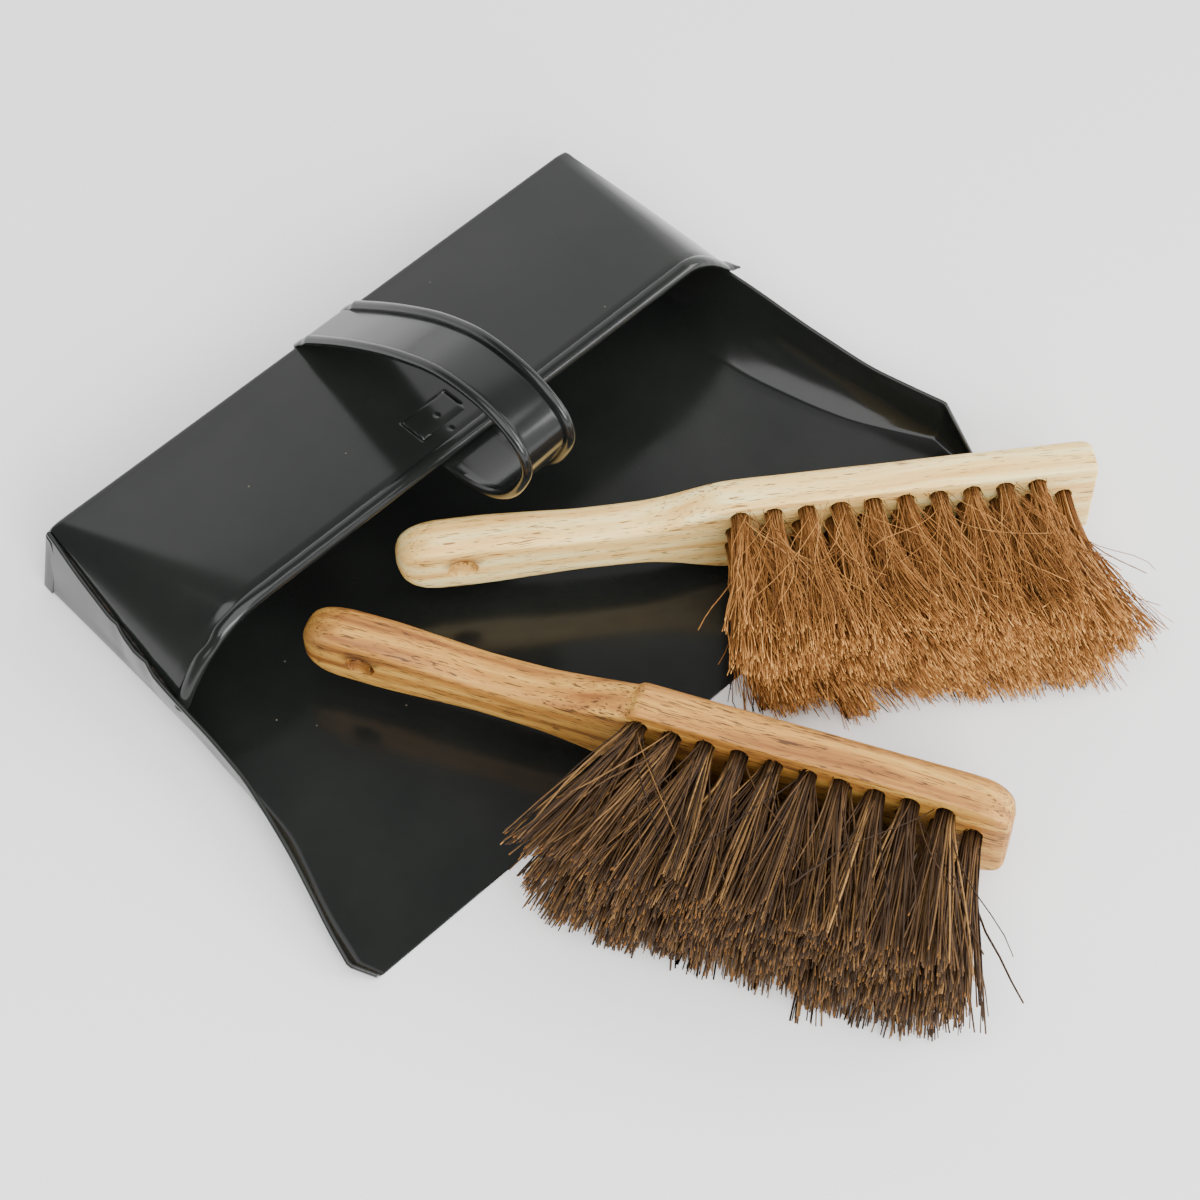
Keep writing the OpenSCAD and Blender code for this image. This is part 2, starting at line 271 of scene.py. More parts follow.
def put(tree, socket, value):
    """Links a socket to an input, or sets the input to a number, a vector or a hex colour."""
    if isinstance(value, bpy.types.NodeSocket):
        tree.links.new(value, socket)
    else:
        socket.default_value = rgb(value) if isinstance(value, str) else value


def coat(tree, shader, **values):
    """Sets or links the shader's inputs, with _ for a space in their names."""
    for key, value in values.items():
        put(tree, shader.inputs[key.replace("_", " ")], value)


def relief(tree, shader, height, strength, distance):
    """Fine relief: height is in units of distance, which is in metres."""
    values = {"Height": height, "Strength": strength, "Distance": distance}
    coat(tree, shader, Normal=add(tree, "ShaderNodeBump", values).outputs["Normal"])


def object_place(tree):
    return add(tree, "ShaderNodeTexCoord").outputs["Object"]


def maths(tree, operation, *values):
    made = add(tree, "ShaderNodeMath", dict(enumerate(values)), operation=operation)
    return made.outputs[0]


def plus(tree, first, second, share):
    """first + second * share"""
    return maths(tree, "ADD", first, maths(tree, "MULTIPLY", second, share))


def mixed(tree, factor, first, second):
    """Colour mix of two colours or sockets."""
    made = add(tree, "ShaderNodeMix", data_type="RGBA")
    put(tree, made.inputs["Factor"], factor)
    put(tree, made.inputs[6], first)
    put(tree, made.inputs[7], second)
    return made.outputs[2]


def ramp(tree, value, stops):
    """Colour ramp through (position, hex colour or grey level) stops."""
    made = add(tree, "ShaderNodeValToRGB", {"Fac": value})
    elements = made.color_ramp.elements
    while len(elements) < len(stops):
        elements.new(0.5)
    for element, (position, colour) in zip(elements, stops):
        element.position = position
        element.color = rgb(colour) if isinstance(colour, str) else (colour, colour, colour, 1)
    return made.outputs["Color"]


def noise(tree, vector, scale, detail=2.0, roughness=0.5):
    values = {"Vector": vector, "Scale": scale, "Detail": detail, "Roughness": roughness}
    return add(tree, "ShaderNodeTexNoise", values).outputs["Fac"]


def mapped(tree, vector, scale, location=(0, 0, 0)):
    values = {"Vector": vector, "Scale": scale, "Location": location}
    return add(tree, "ShaderNodeMapping", values).outputs["Vector"]


def enamel_material():
    """Gloss black stove enamel: faint orange peel, soft waves, dust specks and rubbed spots."""
    material, tree, shader = new_material("black_enamel")
    place = object_place(tree)
    clouds = noise(tree, place, 14, 4, 0.6)
    base = ramp(tree, clouds, [(0.3, "151716"), (0.7, "1d1f1d")])
    specks = add(tree, "ShaderNodeTexVoronoi", {"Vector": place, "Scale": 85.0}, feature="F1")
    chance = add(tree, "ShaderNodeTexWhiteNoise", {"Vector": specks.outputs["Position"]}).outputs["Value"]
    dot = maths(tree, "LESS_THAN", specks.outputs["Distance"], 0.035)
    rare = maths(tree, "GREATER_THAN", chance, 0.7)
    speck = maths(tree, "MULTIPLY", dot, rare)
    colour = mixed(tree, speck, base, "544c42")
    smudge = noise(tree, place, 30, 5, 0.65)
    rough = plus(tree, ramp(tree, smudge, [(0.3, 0.13), (0.7, 0.21)]), speck, 0.4)
    coat(tree, shader, Base_Color=colour, Roughness=rough, IOR=1.44)
    peel = noise(tree, place, 900, 2, 0.5)
    wave = noise(tree, place, 22, 2, 0.5)
    height = plus(tree, plus(tree, maths(tree, "MULTIPLY", peel, 0.012), wave, 0.35), speck, 0.05)
    relief(tree, shader, height, 0.5, 0.001)
    return material


def weld_material():
    """Brown scorched weld and rust that shows in the seams."""
    material, tree, shader = new_material("seam_weld")
    place = object_place(tree)
    patches = noise(tree, place, 260, 4, 0.6)
    colour = ramp(tree, patches, [(0.35, "0e0d0c"), (0.52, "1e1914"), (0.7, "4a3626")])
    coat(tree, shader, Base_Color=colour, Roughness=0.62)
    relief(tree, shader, patches, 0.8, 0.0006)
    return material


def grain_place(tree, brush):
    """Millimetres along, across and through a brush's stock, from its tip."""
    place = object_place(tree)
    values = {"Vector": place, "Location": brush.tip * MM, "Scale": (MM, MM, MM),
              "Rotation": (0, 0, brush.heading)}
    return add(tree, "ShaderNodeMapping", values, vector_type="TEXTURE").outputs["Vector"]


def patch(tree, place, at, size, ragged):
    """1 near a spot `at` in a brush's millimetres, fading unevenly to 0 at its size."""
    gap = add(tree, "ShaderNodeVectorMath", {0: place, 1: at}, operation="SUBTRACT").outputs[0]
    scaled = add(tree, "ShaderNodeVectorMath", {0: gap, 1: size}, operation="DIVIDE").outputs[0]
    far = add(tree, "ShaderNodeVectorMath", {0: scaled}, operation="LENGTH").outputs["Value"]
    return ramp(tree, maths(tree, "ADD", far, ragged), [(0.35, 1.0), (1.0, 0.0)])


def wood_material(name, brush, tones, pore_and_hole_shade, pore_share, stain, stain_share, marks):
    """Sanded bare wood: growth streaks, fine grain, open pores, stained marks, and painted shade inside
    the hanging hole.

    marks are (place, size, colour, strength) in the brush's own millimetres.
    """
    material, tree, shader = new_material(name)
    place = grain_place(tree, brush)
    warp = noise(tree, mapped(tree, place, (0.012, 0.05, 0.05)), 1, 2)
    shift = add(tree, "ShaderNodeCombineXYZ", {"Y": maths(tree, "MULTIPLY", warp, 9)}).outputs[0]
    bent = add(tree, "ShaderNodeVectorMath", {0: place, 1: shift}, operation="ADD").outputs[0]
    streaks = noise(tree, mapped(tree, bent, (0.008, 0.16, 0.19)), 1, 4, 0.55)
    colour = ramp(tree, streaks, [(0.34, tones[0]), (0.49, tones[1]), (0.64, tones[2])])
    fine = noise(tree, mapped(tree, bent, (0.03, 1.3, 1.3)), 1, 3, 0.6)
    colour = mixed(tree, ramp(tree, fine, [(0.42, 0.0), (0.7, 0.36)]), colour, tones[0])
    clouds = noise(tree, mapped(tree, place, (0.03, 0.09, 0.09)), 1, 3)
    colour = mixed(tree, ramp(tree, clouds, [(1 - stain_share, 0.0), (1.0, 0.9)]), colour, stain)
    uneven = maths(tree, "MULTIPLY", maths(tree, "SUBTRACT", fine, 0.5), 1.6)
    for at, size, tone, strength in marks:
        spot = patch(tree, place, at, size, uneven)
        colour = mixed(tree, maths(tree, "MULTIPLY", spot, strength), colour, tone)
    # Painted shade: the walls of the hanging hole are darkened to the pores' dark colour
    painted_hole_shade = patch(tree, place, (HANG_X, 0, 3.8), (9.4, 8.6, 5), 0.0)
    colour = mixed(tree, painted_hole_shade, colour, pore_and_hole_shade)
    dashes = noise(tree, mapped(tree, bent, (0.13, 1.7, 1.7)), 1, 2, 0.45)
    bands = noise(tree, mapped(tree, bent, (0.02, 0.22, 0.22), (7, 3, 5)), 1, 2)
    dashes = plus(tree, dashes, maths(tree, "SUBTRACT", bands, 0.5), 0.3)
    pores = ramp(tree, dashes, [(1 - pore_share, 0.0), (1.04 - pore_share, 0.85)])
    colour = mixed(tree, pores, colour, pore_and_hole_shade)
    coat(tree, shader, Base_Color=colour, Roughness=ramp(tree, fine, [(0.3, 0.5), (0.7, 0.66)]))
    height = maths(tree, "SUBTRACT", maths(tree, "MULTIPLY", fine, 0.35), pores)
    relief(tree, shader, height, 0.45, 0.0004)
    return material


def fibre_material(name, tones, root, tip, tip_share, cut_from, roughness):
    """Plant fibre: every fibre has its own tone, painted shade at its root, and some have pale cut ends.
    """
    material, tree, shader = new_material(name)
    shade = add(tree, "ShaderNodeAttribute", attribute_name="shade").outputs["Fac"]
    along = add(tree, "ShaderNodeAttribute", attribute_name="along").outputs["Fac"]
    colour = ramp(tree, shade, [(0.0, tones[0]), (0.4, tones[1]), (0.75, tones[2]), (1.0, tones[3])])
    place = object_place(tree)
    mottle = noise(tree, place, 420, 3, 0.6)
    colour = mixed(tree, ramp(tree, mottle, [(0.48, 0.0), (0.72, 0.55)]), colour, tones[0])
    # Painted shade: each fibre darkens to the root colour near the stock, where the tufts crowd together
    colour = mixed(tree, ramp(tree, along, [(0.05, 0.7), (0.2, 0.0)]), colour, root)
    number = add(tree, "ShaderNodeTexWhiteNoise", {"W": shade}, noise_dimensions="1D").outputs["Value"]
    cut = ramp(tree, along, [(1 - tip_share, 0.0), (1 - tip_share * 0.5, 0.95)])
    pale = ramp(tree, number, [(cut_from, 0.0), (cut_from + 0.1, 1.0)])
    colour = mixed(tree, maths(tree, "MULTIPLY", cut, pale), colour, tip)
    coat(tree, shader, Base_Color=colour, Roughness=roughness, Specular_IOR_Level=0.18)
    relief(tree, shader, mottle, 0.3, 0.0002)
    return material


def anchor_material():
    """Drawn steel strip of the tuft anchors, with fine draw lines."""
    material, tree, shader = new_material("anchor_steel")
    place = object_place(tree)
    lines = noise(tree, mapped(tree, place, (200, 200, 6000)), 1, 3)
    coat(tree, shader, Base_Color=ramp(tree, lines, [(0.3, 0.36), (0.7, 0.52)]), Metallic=1.0,
         Roughness=ramp(tree, lines, [(0.3, 0.3), (0.7, 0.45)]))
    return material


# ---- Tray ---------------------------------------------------------------------------------

# Each side of the tray by depth behind the lip: [depth, outer corner of the floor's fold,
# how far the fold's curve reaches in, X of the wall's top edge, its height]. The belly is how
# far a wall bulges, as a share of its height. Only the right wall has a full hem.
LEFT_SIDE = np.array([
    [9, 169, 3, 171.6, 6], [22, 167, 4, 168.6, 9], [36, 163.4, 4, 164.6, 12],
    [52, 158, 4, 160.2, 15], [65, 153.8, 4, 157, 16.6], [76, 151.6, 3.5, 154.4, 17.6],
    [93, 149.8, 3, 151.2, 18.8], [108, 148.7, 2.4, 150.4, 20.3], [131, 147, 1.8, 149.6, 22.8],
    [225, 145.2, 1.8, 140.8, 40.3]])
RIGHT_SIDE = np.array([
    [25, 166, 1.6, 170.3, 19.7], [43, 155, 1.6, 165, 20.4], [58, 147, 1.6, 161, 20.9],
    [81, 139, 1.6, 157, 23.5], [109, 132.6, 1.8, 152.3, 27], [131, 131, 2.2, 149.6, 28.5],
    [160, 136, 4, 146.4, 30], [225, 143.6, 3, 140.4, 34]])
LIP_HALF = 165
HEM_WIDTH = 7.5
HEM_CURL = 0.5
LEFT_HEM = 0.8
LEFT_BELLY, RIGHT_BELLY = 0.03, 0.24
# Dents in the left wall's top edge beside the hood: [depth, width, how far in]
SEAM_DENTS = [(172, 5, 0.9), (153, 6, 1.2)]


def side_values(table, depth):
    """Fold, softness, top X and top height at each depth; straight across the cut corner."""
    corner = table[0, 0]
    values = [smooth(table[:, 0], table[:, k], np.maximum(depth, corner)) for k in range(1, 5)]
    cut = np.clip(1 - depth / corner, 0, 1)
    at_lip = [LIP_HALF, 2.5, LIP_HALF + 1.0, 2.6]
    return [v + (e - v) * cut for v, e in zip(values, at_lip)]


def side_profile(fold, soft, top_x, top_z, hem, belly):
    """(x, z) points of one side of the tray from the floor outwards, with its hem."""
    foot, top = np.array([fold, 0.0]), np.array([top_x, top_z])
    height = np.linalg.norm(top - foot)
    bend = (foot + top) / 2 + belly * np.array([top_z, fold - top_x])

    def wall(t):
        return (1 - t) ** 2 * foot + 2 * t * (1 - t) * bend + t * t * top

    start = np.array([fold - soft, 0.0])
    reach = min(soft / height, 0.5)
    t = np.linspace(0, 1, 8)[:, None]
    points = [(1 - t) ** 2 * start + 2 * t * (1 - t) * foot + t * t * wall(reach)]
    t = np.linspace(reach, 1, 17)[1:, None]
    rise = wall(t)
    along = (top - bend) / np.linalg.norm(top - bend)
    out = np.array([along[1], -along[0]])
    crease = bump((1 - t) * height - HEM_WIDTH, 1.8)
    points.append(rise - out * 0.25 * crease * (hem > 4))
    centre = top + out * HEM_CURL
    turn = np.radians(np.arange(30, 181, 30))[:, None]
    points.append(centre - out * HEM_CURL * np.cos(turn) + along * HEM_CURL * np.sin(turn))
    down = np.linspace(0.15, 1, 4)[:, None] * min(hem, height * 0.6)
    points.append(centre + out * HEM_CURL - along * down)
    return np.concatenate(points)


def tray_grid():
    """The tray's sheet: rows run from the lip to the back, close together at the cut corners."""
    depths = dense_steps(0, Y_BACK - Y_LIP - 0.9, 3.2, [(0, 28, 1.6)])
    left = np.stack(side_values(LEFT_SIDE, depths), axis=1)
    right = np.stack(side_values(RIGHT_SIDE, depths), axis=1)
    rows = []
    for depth, lv, rv in zip(depths, left, right):
        lv[2] -= sum(size * bump(depth - at, width) for at, width, size in SEAM_DENTS)
        hem = 0.6 + (HEM_WIDTH - 0.6) * ease((134 - depth) / 8)
        a = side_profile(*lv, LEFT_HEM, LEFT_BELLY)
        b = side_profile(*rv, hem, RIGHT_BELLY * (1 - 0.9 * ease((depth - 140) / 60)))
        a[:, 0] *= -1
        x = np.linspace(a[0, 0], b[0, 0], 62)[1:-1]
        middle = np.stack([x, np.zeros_like(x)], axis=1)
        section = np.concatenate([a[::-1], middle, b])
        # The side walls' ends lean in with the back wall
        y = Y_LIP + depth - LEAN * section[:, 1] * ease((depth - 188) / 34)
        rows.append(np.stack([section[:, 0], y, section[:, 1]], axis=1))
    grid = np.array(rows)
    x, y = grid[..., 0], grid[..., 1]
    on_floor = ease((y - Y_LIP) / 40) * ease((Y_BACK - y) / 30) * (1 - ease(grid[..., 2] / 5))
    grid[..., 2] += SHEET / 2 + on_floor * (0.25 + ripple(x, y, 5, 120, 0.22))
    on_wall = ease((grid[..., 2] - 4) / 8) * ease((y - Y_LIP) / 60)
    grid[..., 0] += on_wall * ripple(y, grid[..., 2] * 0.3, 8, 70, 0.5)
    return grid


# ---- Hood ---------------------------------------------------------------------------------

HOOD_BACK_Z = HOOD_HIGH[2] - 11.2
HOOD_FRONT_Z = 52.6
# Half the back wall's width at its top and at its foot
WALL_HALF, FOOT_HALF = 139.3, 143.3
FOLD_R = 1.6
# The share of the hood's half width at which its shoulders start
FLAT = 0.75
BEAD_HIGH, BEAD_DEEP = 2.2, 3.0
# The rectangle pressed up over the strap's tail, and the two spot welds in front of it
EMBOSS = {"x": (-10.8, 12), "y": (29.4, 42.4), "height": 0.7, "moat": 0.85}
WELDS = [(1.3, 34.7), (1, 26)]


def hood_side(v, right):
    """Where a shoulder starts, where it ends, how far it drops, and its curve, at v."""
    if right:
        return 134 - 9 * v, WALL_HALF + 10.4 * v, 0.6 + 19.4 * v, 1.8
    return 134 - 36 * v, 139.9 + 7.9 * v, 0.6 + 30.4 * v, 3.0


def hood_height(v):
    """Height of the hood's middle at v, 0 at the back fold to 1 at the front edge."""
    return HOOD_BACK_Z + (HOOD_FRONT_Z - HOOD_BACK_Z) * v + 0.8 * np.sin(math.pi * v)


def hood_section(v, x_share):
    """(x, z) across the hood at v. x_share runs from -1 to 1, with the shoulders past FLAT."""
    right = x_share > 0
    s = np.abs(x_share)
    sides = zip(hood_side(v, True), hood_side(v, False))
    start, end, drop, power = [np.where(right, on_right, on_left) for on_right, on_left in sides]
    t = np.clip((s - FLAT) / (1 - FLAT), 0, 1)
    x = np.where(s < FLAT, s / FLAT * start, start + (end - start) * t)
    z = hood_height(v) - drop * t ** power
    return np.where(right, x, -x), z


def x_shares():
    """Steps across the hood, close together over the pressed rectangle and the shoulders."""
    # The rectangle lies within about 17 mm of the middle, of the flat's 110 mm
    near = FLAT * 17 / 110
    return dense_steps(-1, 1, 0.022, [(-1, -FLAT, 0.0125), (-near, near, 0.0023), (FLAT, 1, 0.0125)])


def emboss_height(x, y):
    """Height of the pressed rectangle, its moat and the spot welds at (x, y)."""
    (x0, x1), (y0, y1) = EMBOSS["x"], EMBOSS["y"]
    inside = np.minimum(np.minimum(x - x0, x1 - x), np.minimum(y - y0, y1 - y))
    moat = EMBOSS["moat"]
    fade = ease((x1 - x) / 9) * 0.5 + 0.5
    far = (y > y0 + 3) | (x < x0 + 4)
    rise = EMBOSS["height"] * ease(inside / 0.9) * ease((y - y0 + 2) / 6)
    groove = 0.85 * bump(inside, moat) * np.where(far, 1.0, ease((6 - (x - x0)) / 6))
    deep = 1.1 * bump(x - x1, 1.1) * ease((y - y0 - 2) / 3) * ease((y1 + 0.8 - y) / 1.5)
    height = rise - groove * fade - deep
    for cx, cy in WELDS:
        height = height - 0.45 * bump(np.hypot(x - cx, y - cy), 1.5)
    return height


def hood_grid():
    """The hood's sheet, from the back wall's foot over the top to the front edge."""
    shares = x_shares()
    front = Y_HOOD + 3.2
    fine = (Y_FOLD - 46) / (Y_FOLD - front)
    vs = np.unique(np.concatenate([np.linspace(0.02, fine, 22), np.linspace(fine, 1, 58)]))
    v, share = np.meshgrid(vs, shares, indexing="ij")
    x, z = hood_section(v, share)
    top = np.stack([x, Y_FOLD + (front - Y_FOLD) * v, z], axis=2)
    x, y = top[..., 0], top[..., 1]
    settle = ease((Y_FOLD - y) / 14) * ease((150 - np.abs(x)) / 20)
    top[..., 2] += settle * ripple(x, y, 21, 110, 0.3) + emboss_height(x, y)
    top[..., 2] -= 0.35 * ease((front + 5 - y) / 5)
    left = flange(top[:, 0], -1, 4.5)
    right = flange(top[:, -1], 1, 9.5)[:, ::-1]
    top = np.concatenate([left, top, right], axis=1)
    return np.concatenate([back_wall_rows(top[0]), top])


def wall_y(share, fold_y=Y_FOLD):
    """Y of the leaning back wall at a share of its height."""
    return Y_BACK - 0.5 + (fold_y - Y_BACK + 0.5) * share


def flange(edge, sign, deep):
    """Columns of the flange that tucks down inside a side wall, from its lower edge up."""
    lower = edge + [sign * 0.3, 0, -deep]
    return np.stack([lower, edge * 0.6 + lower * 0.4, edge + [0, 0, -0.6]], axis=1)


def back_wall_rows(first):
    """Rows of the back wall, from its foot up to the rounded fold before the top's first row."""
    foot_z = 1.4
    foot = FOOT_HALF / WALL_HALF
    fold_y = Y_FOLD + FOLD_R * 0.2
    rows = []
    for f in np.linspace(0, 1, 9):
        x = first[:, 0] * (foot + (1 - foot) * f)
        crown = (1 - np.abs(x) / 145) * 0.6 * math.sin(math.pi * f)
        y = wall_y(f, fold_y) + crown
        z = foot_z + (first[:, 2] - FOLD_R - foot_z) * f
        rows.append(np.stack([x, y, z], axis=1))
    for turn in np.radians([25, 50, 72]):
        y = np.full_like(first[:, 0], fold_y - FOLD_R * (1 - math.cos(turn)))
        z = first[:, 2] - FOLD_R + FOLD_R * math.sin(turn)
        rows.append(np.stack([first[:, 0], y, z], axis=1))
    return np.array(rows)


def front_edge(shares):
    """The hood's front edge as (x, z), running past both sides."""
    x, z = hood_section(np.ones_like(shares), np.clip(shares, -1, 1))
    past = np.maximum(np.abs(shares) - 1, 0)
    x = x + np.sign(shares) * past * np.where(shares > 0, 52, 20)
    z = z - past * np.where(shares > 0, 40, 30)
    return x, z


def bead_grid():
    """The rolled front edge: a curl that is round on the left and pressed flat on the right."""
    shares = np.concatenate([np.linspace(-1.09, -FLAT, 70), np.linspace(-0.74, 0.74, 90),
                             np.linspace(FLAT, 1.12, 60)])
    x, z = front_edge(shares)
    along = np.stack([np.gradient(x), np.gradient(z)], axis=1)
    along /= np.linalg.norm(along, axis=1, keepdims=True)
    out = np.stack([-along[:, 1], along[:, 0]], axis=1)
    flare = ease((-shares - 0.98) / 0.11)
    pinch = bump(shares + 0.915, 0.03)
    press = ease((shares - 0.78) / 0.25)
    wobble = 0.12 * np.sin(shares * 61) + 0.1 * np.sin(shares * 143 + 1)
    high = BEAD_HIGH * (1 - 0.1 * flare - 0.35 * pinch - 0.62 * press) + wobble * 0.6
    deep = BEAD_DEEP * (1 - 0.15 * flare - 0.2 * pinch - 0.1 * press) + wobble * 0.3
    tip = 1 - ease((shares - 1.04) / 0.08) * 0.85
    high, deep = high * tip, deep * tip
    lift = 1.2 - 0.9 * pinch - 0.6 * press
    rows = []
    for turn in np.radians(np.arange(152, -196, -12)):
        c, s = math.cos(turn), math.sin(turn)
        y = Y_HOOD - 1.2 + (1 - c) * deep
        rise = (s - 1) * high + lift
        rows.append(np.stack([x + out[:, 0] * rise, y, z + out[:, 1] * rise], axis=1))
    return np.array(rows)


def corner_flap(sign):
    """The back wall's flap, bent round one corner and lapped over the side wall."""
    heights = np.linspace(2.2, HOOD_BACK_Z - 4.5, 26)
    corner_x = 146.1 - 0.109 * heights
    corner_y = wall_y(heights / HOOD_BACK_Z)
    reach = smooth([2, 14, 28, 34, 40], [4.3, 4.9, 5.6, 3.6, 0.7], heights)
    lift = 0.35 * ease((heights - 24) / 14)
    columns = [np.stack([corner_x - 4.5, corner_y + 0.3, heights], axis=1)]
    for turn in np.radians([5, 35, 65, 90]):
        x = corner_x - 1 + math.sin(turn)
        y = corner_y - 0.25 + math.cos(turn)
        columns.append(np.stack([x, y, heights], axis=1))
    for t in (0.35, 0.7, 1.0):
        x = corner_x + lift * t
        columns.append(np.stack([x, corner_y - 0.25 - reach * t, heights - reach * t * 0.25], axis=1))
    grid = np.stack(columns, axis=1)
    grid[..., 0] *= sign
    return grid if sign > 0 else grid[:, ::-1]


def seam_weld(sign, seed):
    """Uneven weld along the gap between the hood's edge and the side wall."""
    v = np.linspace(0.03, 0.96, 120)
    _, end, drop, _ = hood_side(v, sign > 0)
    rng = np.random.default_rng(seed)
    jitter = np.convolve(rng.normal(0, 1, 124), np.ones(5) / 5, "valid")
    path = np.stack([sign * (end + 0.9 + 0.15 * jitter),
                     Y_FOLD + (Y_HOOD + 3 - Y_FOLD) * v,
                     hood_height(v) - drop - 2.4 + 0.4 * jitter], axis=1)
    return tube(path, 0.5 + 0.16 * np.abs(jitter), 6)


# ---- Handle strap -------------------------------------------------------------------------

# Outer profile of the loop, [Y from the back fold, z], over the top and back under the hood
STRAP_PROFILE = np.array([
    [0.3, 47], [-10, 56], [-35.5, 77], [-68.5, 99.5], [-86.5, 108.6], [-104.5, 112.4],
    [-117.5, 112.2], [-127.5, 109], [-135.5, 103], [-138.5, 94.5], [-135, 80], [-127.5, 65.5],
    [-116.5, 54.8], [-101.5, 48.2], [-93, 46.2], [-86, 45.6], [-78, 46.3], [-64, 47.2]])
STRAP_PROFILE[:, 0] += Y_FOLD
STRAP_MIDDLE = 3
STRAP_HALF = 15
STRAP_BEAD = 1.85
# How far the strap's flat lies under the outer profile
STRAP_DEEP = 2.6


def strap_path():
    """Evenly stepped points of the strap's flat, their outward directions and their share of it."""
    gaps = np.linalg.norm(np.diff(STRAP_PROFILE, axis=0), axis=1)
    run = np.concatenate([[0], np.cumsum(gaps)])
    at = np.linspace(0, run[-1], 230)
    points = np.stack([hermite(run, ys, np.gradient(ys, run), at) for ys in STRAP_PROFILE.T], axis=1)
    # A moving average takes out the small kinks at the profile's points
    window = np.hanning(17)[1:-1]
    padded = np.concatenate([2 * points[:1] - points[7:0:-1], points, 2 * points[-1:] - points[-2:-9:-1]])
    points = np.stack([np.convolve(line, window / window.sum(), "valid") for line in padded.T], axis=1)
    along = np.gradient(points, axis=0)
    along /= np.linalg.norm(along, axis=1, keepdims=True)
    out = np.stack([along[:, 1], -along[:, 0]], axis=1)
    return points - out * STRAP_DEEP, out, at / run[-1]


def strap_grid():
    """The strap's sheet: rows follow its length, and both edges curl outwards into beads."""
    path, out, share = strap_path()
    # The lap down the back wall comes before the loop
    lap_z = np.linspace(20, 41.5, 10)
    lap = np.stack([wall_y(lap_z / HOOD_BACK_Z) + 1.2, lap_z], axis=1)
    lap_out = np.tile([0.99, 0.12], (len(lap), 1))
    path = np.concatenate([lap, path])
    out = np.concatenate([lap_out, out])
    share = np.concatenate([np.full(len(lap), -1.0), share])
    rolled = ease((share - 0.012) / 0.02) * (1 - ease((share - 0.872) / 0.025))
    curl = np.radians(np.arange(-75, 236, 22))
    narrowing = 3.4 * ease((share - 0.25) / 0.3) * (1 - ease((share - 0.8) / 0.12))
    inner = STRAP_HALF - 2 * STRAP_BEAD - 0.45
    flat = [(x, 0.05 * math.cos(x / inner * 1.5)) for x in np.linspace(0, inner - 0.8, 9)]
    centre = STRAP_HALF - STRAP_BEAD - 0.45
    rows = []
    for (y, z), (oy, oz), roll, narrow in zip(path, out, rolled, narrowing):
        radius = STRAP_BEAD * (0.25 + 0.75 * roll)
        bead = [(centre + STRAP_BEAD * math.cos(a), 0.9 * roll + 0.1 + radius * math.sin(a)) for a in curl]
        half = np.array(flat + bead)
        full = np.concatenate([half[:0:-1] * [-1, 1], half])
        x = STRAP_MIDDLE + full[:, 0] - narrow * (full[:, 0] / STRAP_HALF + 1) / 2
        rows.append(np.stack([x, y + oy * full[:, 1], z + oz * full[:, 1]], axis=1))
    return np.array(rows)


# ---- Brushes ------------------------------------------------------------------------------

# The hanging hole, the sockets' rows and pitch, and each stock's length
HANG_X, HANG_Z = 26, 10
PITCH = 13.3
ROWS = range(1, 5)
ROW_GAP = 9.4
SOCKET_R = 3.5
COCO_LENGTH, BASSINE_LENGTH = 280, 284


def row_y(row):
    return ROW_GAP * (row - 2.5)


def row_count(row):
    return 10 if row in (1, 4) else 11


class Brush:
    """A brush's make and its own frame: X from handle tip to toe, Y down and the fibres to -Z."""

    def __init__(self, name, stations, style):
        mounts = {m["name"]: m for m in frame["record"]["mounts"]}
        hole = mounts[name + "_hanging_hole"]
        fibres = np.array(hole["axis"], float)
        self.name = name
        self.body = name + "_brush"
        self.stations = stations
        self.style = style
        self.along = np.array([-fibres[1], fibres[0], 0])
        self.down = np.array([0.0, 0.0, -1.0])
        self.back = -fibres
        self.heading = math.atan2(self.along[1], self.along[0])
        self.tip = np.array(hole["pos_m"]) / MM - HANG_X * self.along - HANG_Z * self.back
        self.ground = self.tip[2]

    def place(self, points):
        """Row millimetres of points in the brush's own frame."""
        x, y, z = points[..., 0:1], points[..., 1:2], points[..., 2:3]
        return self.tip + x * self.along + y * self.down + z * self.back

    def row_sockets(self, row):
        """(X, Y) of each tuft socket in a row; the rows of 11 start 2 mm nearer the handle."""
        start = self.style["first"] - (2 if row_count(row) == 11 else 0)
        return [(start + i * PITCH, row_y(row)) for i in range(row_count(row))]

    def sockets(self):
        return [socket for row in ROWS for socket in self.row_sockets(row)]


# Stations along each stock: [x, half width, underside, back, width of each lower edge's round]
COCO_STOCK = np.array([
    [0, 2.4, 7.4, 12.6, 2], [1, 5.4, 4.8, 15.4, 2.4], [3, 8.4, 2.4, 17.4, 2.8],
    [7, 11.2, 0.7, 19, 3.2], [12, 12.9, 0, 19.8, 3.4], [18, 13.8, 0, 20, 3.4], [32, 13.9, 0, 20, 3.4],
    [52, 12.8, 0, 19.6, 3.4], [76, 11.4, 0, 19, 3.2], [97, 11.8, 0, 19, 3], [110, 14, 0, 19.2, 2.6],
    [121, 17.4, 0, 19.4, 2], [132, 20, 0, 19.5, 1.4], [145, 20.6, 0, 19.5, 1], [200, 20.6, 0, 19.5, 1],
    [275, 20.5, 0, 19.5, 1], [277.4, 20.4, 0, 19.2, 1], [279, 20.2, 0, 18.4, 1.1],
    [279.8, 19.7, 0.3, 17.2, 1.3], [COCO_LENGTH, 19, 0.9, 16, 1.4]])
